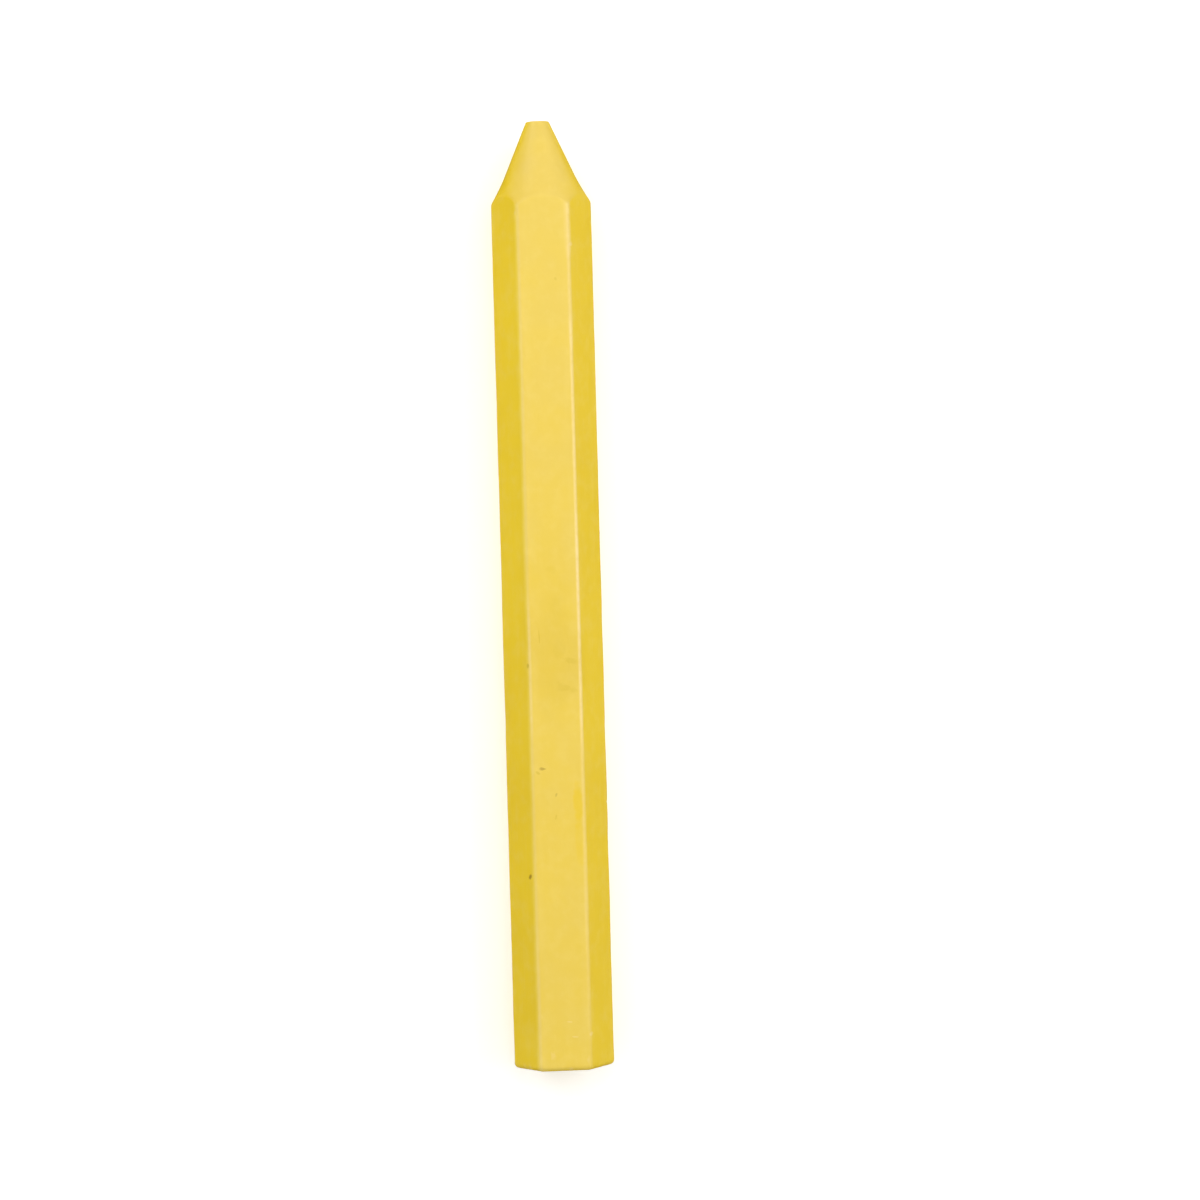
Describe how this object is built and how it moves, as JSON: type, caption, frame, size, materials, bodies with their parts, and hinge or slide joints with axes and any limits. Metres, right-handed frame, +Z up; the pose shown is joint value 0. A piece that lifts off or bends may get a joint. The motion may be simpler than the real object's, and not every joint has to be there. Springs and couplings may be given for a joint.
{
  "type": "chalk stick",
  "caption": "Hexagonal yellow marking chalk with rounded long edges, a flat butt and a blunt cone point that runs out through the flats in scallops.",
  "frame": {"origin": "on the surface the stick lies on, under the middle of its length", "axes": "+Y along the stick, from the butt towards the point; +Z up, out of the flat that faces up; +X across the stick"},
  "size_m": [0.0128, 0.12, 0.0112],
  "materials": {
    "chalk": "pressed waxy yellow chalk, matt to satin, with paler worn edges and faint powdery bloom"
  },
  "bodies": {
    "root": {"chalk_stick": "chalk"}
  },
  "joints": []
}
